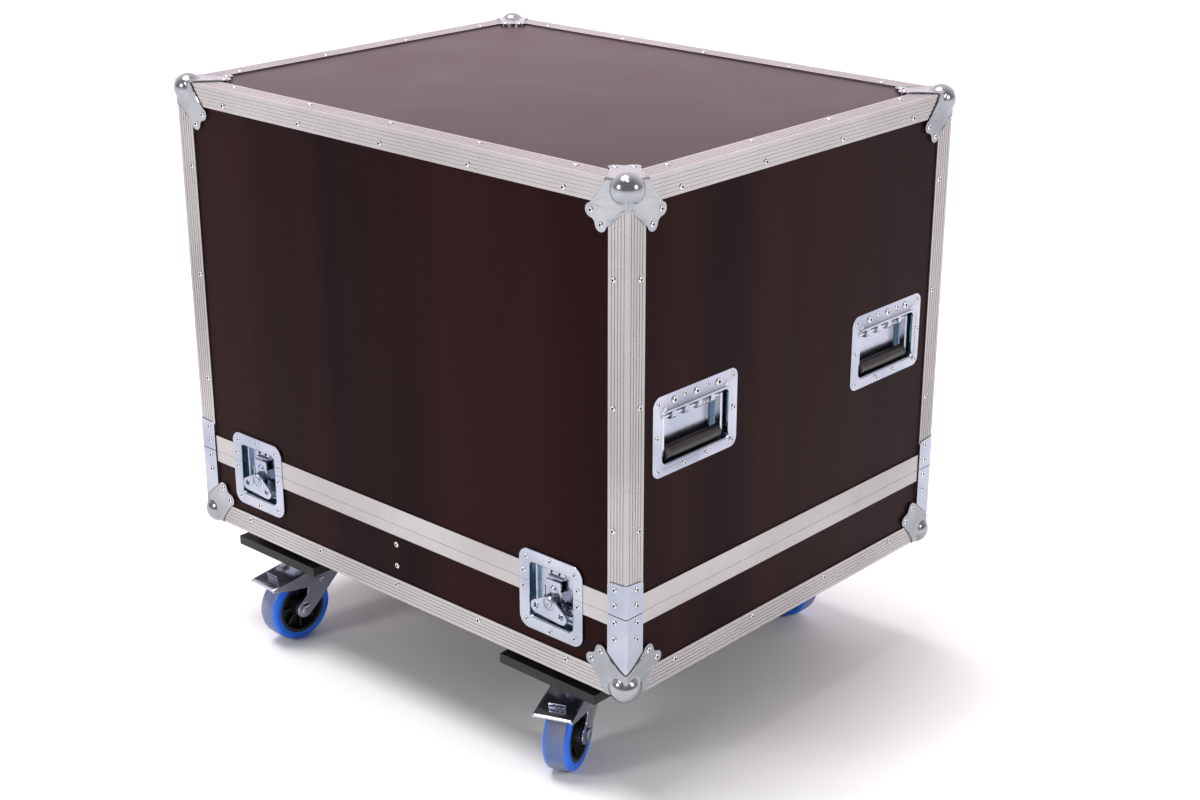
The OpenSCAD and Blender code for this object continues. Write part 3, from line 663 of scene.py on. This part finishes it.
def knuckle(bm, at, x):
    """A rolled hinge barrel round the pin and the strap that holds it to the dish."""
    half, lip = KNUCKLE_W / 2, 0.5
    barrel = [(x - half, PIN_BORE_R), (x - half, KNUCKLE_R - lip), (x - half + lip, KNUCKLE_R),
              (x + half - lip, KNUCKLE_R), (x + half, KNUCKLE_R - lip), (x + half, PIN_BORE_R)]
    lathe(bm, at @ Matrix.Translation((0, PIN_IN, PIN_UP)), barrel, 32, closed=True)
    near, far = PIN_IN - KNUCKLE_R, PIN_IN + KNUCKLE_R
    sheet = [(near, PIN_UP), (far, PIN_UP), (far, KNUCKLE_TOP), (near, KNUCKLE_TOP)]
    bore = arc(PIN_IN, PIN_UP, 5.2, 0, 345, 23)
    strap = at @ Matrix.Translation((x, 0, 0)) @ Matrix.Rotation(QUARTER_TURN, 4, "Z")
    plate(bm, strap, [sheet, bore], 0.1 - half, half - 0.1, 0.3)


def handle_dish(bm, at):
    """Pressed dish with a beaded opening, hinge knuckles and two small dimples."""
    rings = dish_rings(HANDLE_LEVELS) + dish_rings(RECESS_LEVELS, RECESS_Z)
    pan = bmesh.new()
    loft(pan, Matrix.Identity(4), rings, end=True)
    paint_wall_shade(pan, RECESS_FLOOR)
    merge(bm, pan, at)
    for x in KNUCKLES:
        knuckle(bm, at, x)
    for x in (-DIMPLE_X, DIMPLE_X):
        lathe(bm, facing(at, x, DIMPLE_Z, FLANGE), DIMPLE_PROFILE, 24)


bm = bmesh.new()
for i in FOUR:
    handle_dish(bm, handle_at(i))
piece("handle_pans", bm, "hood", ZINC, ["handle_dishes"], second=RECESS_SHADE)

# From the middle of the sleeve to its bored end
GRIP_HALF = [(0, 8.45), (30, 8.3), (45, 8.0), (46, 7.9), (46.8, 8.2), (48, 8.5), (50, 8.3), (51.4, 7.7),
             (52, 6.6), (52, 3.6)]
for i in FOUR:
    bm = bmesh.new()
    sleeve = handle_at(i) @ Matrix.Translation((0, PIN_IN, -GRIP_DROP))
    lathe(bm, sleeve, mirrored(GRIP_HALF), 48, closed=True)
    piece(f"grip_sleeve_{i}", bm, f"handle_{i}", GRIP, [f"handle_grip_{i}"])


# ---------------------------------------------------------------- castors

# (along the axle, radius), the tyre from the middle of its tread
TYRE_HALF = [(0, 50), (9, 50), (12.8, 49.7), (15.4, 48.6), (17.2, 46.6), (18, 44.2), (18, 42.5), (17.6, 40),
             (17, 38.2)]
TREAD_R = 49.2
HUB_RIM = [(-17, 33.5), (-17.2, 34.5), (-17.2, 37.3), (-16.8, 38), (16.8, 38), (17.2, 37.3), (17.2, 34.5),
           (17, 33.5), (8, 31.5), (6, 30), (-6, 30), (-8, 31.5)]
HUB_BOSS = [(-21.4, 6.1), (-21.4, 12.6), (-20.6, 13.8), (-8, 15.8), (8, 15.8), (20.6, 13.8), (21.4, 12.6),
            (21.4, 6.1)]
HUB_WEB = [(-3.5, 14), (-3.5, 31), (3.5, 31), (3.5, 14)]
SPOKES = 8
# (radius, half width along the axle, half thickness)
SPOKE_SECTIONS = ((13, 11.5, 1.5), (22, 9.5, 1.2), (32, 12, 1.6))
# The castor's own frame: Y forward of the swivel is positive, so the wheel trails at negative Y
AXLE_Y, AXLE_Z = -42, 50
PIVOT_Y, PIVOT_Z = -11, 87.4
CROWN_Z, CROWN_T = 109, 3.2
CHEEK_IN, CHEEK_T = 22, 3
CHEEK = [(-31, CROWN_Z), (-33.5, 96), (-35, 80), (-37.5, 70), (-44, 64.5)]
CHEEK += arc(AXLE_Y, AXLE_Z, 13, 120, 318, 18)
CHEEK += [(-22, 49), (24, 92), (25.5, 99), (25.5, CROWN_Z)]
RACE = [(108.5, 25.2), (110.5, 25.6), (113, 25.4), (117, 24.4), (119.4, 22.8), (120.4, 20.5), (120.4, 8)]
AXLE_REACH, AXLE_R = 25.5, 6
# (out from the middle of the fork, radius)
WASHER = [(24.8, 12.0), (25.8, 12.0), (26.0, 11.6), (26.0, 0)]
BOLT_HEAD = [(AXLE_REACH, 9.4), (29.4, 9.4), (30.0, 8.5), (30.0, 0)]
PIVOT_STUB = [(24.8, 3.0), (27.5, 3.0), (27.55, 5.0), (28.4, 4.6), (29.0, 2.8), (29.1, 0)]
# (forward, up) along the tread plate of the pedal, from its tip
PEDAL_TOP = [(-97, 98.0), (-96, 98.9), (-93, 99.7), (-80, 101.8), (-65, 104.0), (-50, 106.3), (-38, 108.1),
             (-33, 108.9)]
# (across, drop) from one rounded edge of that plate to the other
PEDAL_EDGE = ((27.3, 2.4), (26.9, 1.0), (25.6, 0.15), (24, 0))
# Thickness of the tread plate, and the share of its width that the underside keeps
PEDAL_T, UNDERSIDE = 1.8, 0.93
SKIRT_IN, SKIRT_T = 25.4, 2
SKIRT = [(-97, 97.6), (-96.8, 94.6), (-92, 92.6), (-60, 87.2), (-30, 82.6), (-20, 81.0)]
SKIRT += arc(PIVOT_Y, PIVOT_Z, 7.9, -130, 60, 14)
SKIRT += [(-20, 100), (-33, 107.6), (-50, 105.2), (-65, 102.9), (-80, 100.7), (-93, 98.6)]
TAB_Y, TAB_Z, TAB_LEAN = -77, 100.4, 14
TAB_HALF_T = 0.9
SLOT_PITCH = 6.5


def tyre(bm, at):
    lathe(bm, at, mirrored(TYRE_HALF), 96, closed=True)
    for face in bm.faces:
        centre = at.inverted() @ face.calc_center_median()
        if math.hypot(centre.y, centre.z) > TREAD_R:
            face.material_index = 1


def wheel_centre(bm, at):
    """Moulded rim, boss and web with spokes on both sides."""
    for profile in (HUB_RIM, HUB_BOSS, HUB_WEB):
        lathe(bm, at, profile, 72, closed=True)
    for k in range(SPOKES):
        rings = []
        for r, wide, thick in SPOKE_SECTIONS:
            rings.append([(-wide, -thick, r), (wide, -thick, r), (wide, thick, r), (-wide, thick, r)])
        spoke = at @ Matrix.Rotation(2 * math.pi * k / SPOKES, 4, "X")
        loft(bm, spoke, rings, start=True, end=True)


def brake_pedal(bm, at):
    """Bent tread plate with rounded edges, a skirt on each side and a slotted toe tab."""
    across = [(-x, drop) for x, drop in PEDAL_EDGE] + list(reversed(PEDAL_EDGE))
    rings = []
    for x, drop in across:
        ring = [(x, y, z - drop) for y, z in PEDAL_TOP]
        ring += [(x * UNDERSIDE, y, z - PEDAL_T - drop * 0.5) for y, z in reversed(PEDAL_TOP)]
        rings.append(ring)
    loft(bm, at, rings, start=True, end=True)
    side = at @ Matrix.Rotation(QUARTER_TURN, 4, "Z")
    bore = arc(PIVOT_Y, PIVOT_Z, PIN_BORE_R, 0, 345, 23)
    for start in (SKIRT_IN, -SKIRT_IN - SKIRT_T):
        plate(bm, side, [SKIRT, bore], start, start + SKIRT_T, 0.35)
    lean = Matrix.Rotation(math.radians(TAB_LEAN), 4, "X")
    slots = []
    for k in (-1, 0, 1):
        slots.append([(x + k * SLOT_PITCH, z) for x, z in rounded_rect(2.6, 1.2, 1.1, 5.8, 4)])
    tab = at @ Matrix.Translation((0, TAB_Y, TAB_Z)) @ lean
    plate(bm, tab, [rounded_rect(12, 5.2, 2.4, 4.6, 6)] + slots, -TAB_HALF_T, TAB_HALF_T, 0.3)


def on_side(profile, out):
    """A profile of the fork's right side, moved to the side that out says."""
    return [(out * along, r) for along, r in profile]


def castor_fork(bm, at, braked):
    """Two cheeks under a crown and a bearing race, the axle bolt, and the pedal's pivots where braked."""
    side = at @ Matrix.Rotation(QUARTER_TURN, 4, "Z")
    for start in (-CHEEK_IN - CHEEK_T, CHEEK_IN):
        plate(bm, side, [CHEEK], start, start + CHEEK_T, 0.6)
    lying = at @ Matrix.Rotation(QUARTER_TURN, 4, "X")
    plate(bm, lying, [rounded_rect(25, 28.2, 4, 2.8)], CROWN_Z - CROWN_T, CROWN_Z, 0.8)
    lathe(bm, at @ Matrix.Rotation(-QUARTER_TURN, 4, "Y"), RACE, 64)
    axle = at @ Matrix.Translation((0, AXLE_Y, AXLE_Z))
    pivot = at @ Matrix.Translation((0, PIVOT_Y, PIVOT_Z))
    lathe(bm, axle, [(-AXLE_REACH, AXLE_R), (AXLE_REACH, AXLE_R)], 24)
    for out in (-1, 1):
        lathe(bm, axle, on_side(WASHER, out), 32)
        lathe(bm, axle, on_side(BOLT_HEAD, out), 6)
        if braked:
            lathe(bm, pivot, on_side(PIVOT_STUB, out), 24)


for i in FOUR:
    bm = bmesh.new()
    tyre(bm, wheel_at(i))
    piece(f"tyre_{i}", bm, f"wheel_{i}", TYRE, [f"wheel_tyre_{i}"], second=TREAD)
    bm = bmesh.new()
    wheel_centre(bm, wheel_at(i))
    piece(f"wheel_centre_{i}", bm, f"wheel_{i}", NYLON, [f"wheel_hub_{i}"])

for i in BRAKED:
    bm = bmesh.new()
    brake_pedal(bm, castor_at(i))
    piece(f"pedal_plate_{i}", bm, f"pedal_{i}", CASTOR, [f"brake_pedal_{i}"], 40)

for i in FOUR:
    bm = bmesh.new()
    castor_fork(bm, castor_at(i), i in BRAKED)
    piece(f"fork_{i}", bm, f"castor_{i}", CASTOR, [f"castor_fork_{i}"], 40)


# ---------------------------------------------------------------- rivets

# How near one end of a CAD rivet still counts as that end, in metres
RIVET_END = 0.0025
# The mandrel's hole, darkened with painted shade, as a share of the head's radius
SHADED_CORE = 0.40
# (share of the height, share of the radius) up the dome and down into the core
RIVET_SHAPE = ((0.25, 1.0), (0.62, 0.86), (0.9, 0.66), (1.0, 0.52), (0.9, 0.42), (0.35, 0.36), (0.30, 0))


def islands(mesh):
    """Vertex positions of each separate shell of a mesh."""
    bm = bmesh.new()
    bm.from_mesh(mesh)
    bmesh.ops.remove_doubles(bm, verts=bm.verts, dist=0.00001)
    seen, groups = set(), []
    for first in bm.verts:
        if first in seen:
            continue
        stack, group = [first], []
        seen.add(first)
        while stack:
            v = stack.pop()
            group.append(v.co.copy())
            for edge in v.link_edges:
                other = edge.other_vert(v)
                if other not in seen:
                    seen.add(other)
                    stack.append(other)
        groups.append(group)
    bm.free()
    return groups


def reach_near(points, along, side, level, centre):
    """How far a shell reaches sideways near one of its ends."""
    return max(abs(p[side] - centre) for p in points if abs(p[along] - level) < RIVET_END)


def rivet_head(bm, points):
    """A pop rivet on the place of a CAD rivet: a domed ring round the sunken end of its mandrel, the hole
    there darkened with painted shade.
    """
    low = Vector([min(p[k] for p in points) for k in range(3)])
    high = Vector([max(p[k] for p in points) for k in range(3)])
    size = high - low
    along = max(range(3), key=lambda k: size[k])
    across = [k for k in range(3) if k != along]
    r = max(size[k] for k in across) / 2 / MM
    base = (low + high) / 2
    side = across[0]
    at_high = reach_near(points, along, side, high[along], base[side])
    at_low = reach_near(points, along, side, low[along], base[side])
    out = 1 if at_high > at_low else -1
    tip = high[along] if out > 0 else low[along]
    tall = min(2.2, 0.36 * r + 0.1)
    base[along] = tip - out * tall * MM
    direction = Vector((0, 0, 0))
    direction[along] = out
    turn = direction.to_track_quat("X", "Z").to_matrix().to_4x4()
    stand = Matrix.Translation(base) @ turn @ Matrix.Scale(MM, 4)
    profile = [(-0.4, 0.98 * r)]
    profile += [(height * tall, width * r) for height, width in RIVET_SHAPE]
    known = len(bm.faces)
    lathe(bm, stand, profile, 20)
    bm.faces.ensure_lookup_table()
    # Faces round the mandrel's end take the dark second material, the painted shade of its hole.
    for face in bm.faces[known:]:
        centre = stand.inverted() @ face.calc_center_median()
        if math.hypot(centre.y, centre.z) < r * SHADED_CORE:
            face.material_index = 1


for body in ("tray", "hood"):
    bm = bmesh.new()
    for shell in islands(frame["nodes"][f"{body}_fasteners"].data):
        rivet_head(bm, shell)
    piece(f"{body}_rivets", bm, body, STEEL, [f"{body}_fasteners"], 40, second=HOLE_SHADE)


# ---------------------------------------------------------------- studio

FLOOR_HALF = 120
BACKDROP_TOWARDS = (-0.62, 0.69, 0.36)
ROOM_GLOW = (0.34, 0.34, 0.34)
BACKDROP_GLOW = (1.50, 1.32, 1.40)
CAMERA_PLACE = (1.8026, -1.8958, 1.3585)
CAMERA_LOOK = (-0.62794, 0.69096, -0.35815)
LENS = 59.34


def pale_floor():
    mesh = bpy.data.meshes.new("floor")
    bm = bmesh.new()
    bmesh.ops.create_grid(bm, x_segments=1, y_segments=1, size=FLOOR_HALF)
    bm.to_mesh(mesh)
    bm.free()
    floor = bpy.data.objects.new("floor", mesh)
    bpy.context.scene.collection.objects.link(floor)
    paint, tree, shader = new_material("pale_floor")
    speck = noise(tree, object_coords(tree), 3.0, 2.0)
    pale = ramp(tree, speck, [(0.3, (0.86, 0.86, 0.86)), (0.7, (0.88, 0.88, 0.88))])
    tree.links.new(pale, shader.inputs["Base Color"])
    shader.inputs["Roughness"].default_value = 0.9
    shader.inputs["Specular IOR Level"].default_value = 0.1
    mesh.materials.append(paint)


def studio_walls():
    """A dim room with one broad bright wall behind the case, which the lid reflects."""
    world = bpy.data.worlds.new("studio")
    bpy.context.scene.world = world
    world.use_nodes = True
    sky = world.node_tree
    direction = sky.nodes.new("ShaderNodeTexCoord")
    towards = sky.nodes.new("ShaderNodeVectorMath")
    towards.operation = "DOT_PRODUCT"
    towards.inputs[1].default_value = BACKDROP_TOWARDS
    sky.links.new(direction.outputs["Generated"], towards.inputs[0])
    glow = sky.nodes.new("ShaderNodeMapRange")
    glow.interpolation_type = "SMOOTHSTEP"
    glow.inputs["From Min"].default_value = -0.1
    glow.inputs["From Max"].default_value = 0.95
    sky.links.new(towards.outputs["Value"], glow.inputs["Value"])
    shade = ramp(sky, glow.outputs["Result"], [(0.0, ROOM_GLOW), (1.0, BACKDROP_GLOW)])
    sky.links.new(shade, sky.nodes["Background"].inputs["Color"])
    sky.nodes["Background"].inputs["Strength"].default_value = 1.0


def rig(light, place, direction):
    """Hangs a light at a place, shining in a direction."""
    obj = bpy.data.objects.new(light.name, light)
    obj.location = place
    obj.rotation_euler = Vector(direction).to_track_quat("-Z", "Y").to_euler()
    bpy.context.scene.collection.objects.link(obj)


def softbox(name, place, target, size, power):
    light = bpy.data.lights.new(name, "AREA")
    light.shape = "RECTANGLE"
    light.size, light.size_y = size
    light.energy = power
    rig(light, place, Vector(target) - Vector(place))


def overhead_light():
    """A broad light from above that gives the soft shadow under the case."""
    light = bpy.data.lights.new("overhead", "SUN")
    light.energy = 2.75
    light.angle = math.radians(32)
    rig(light, (0, 0, 0), (0.22, 0.10, -0.95))


def photo_camera():
    data = bpy.data.cameras.new("camera")
    data.lens = LENS
    data.sensor_width = 36.0
    data.clip_end = 400
    camera = bpy.data.objects.new("camera", data)
    camera.location = CAMERA_PLACE
    camera.rotation_euler = Vector(CAMERA_LOOK).to_track_quat("-Z", "Y").to_euler()
    bpy.context.scene.collection.objects.link(camera)
    bpy.context.scene.camera = camera


pale_floor()
studio_walls()
softbox("key", (-0.9, -3.4, 1.9), (0.3, -0.3, 0.7), (0.7, 0.7), 34)
softbox("side", (3.5, 0.5, 1.9), (0.4, -0.2, 0.7), (0.7, 0.7), 30)
overhead_light()
bpy.context.scene.view_settings.view_transform = "Standard"
photo_camera()
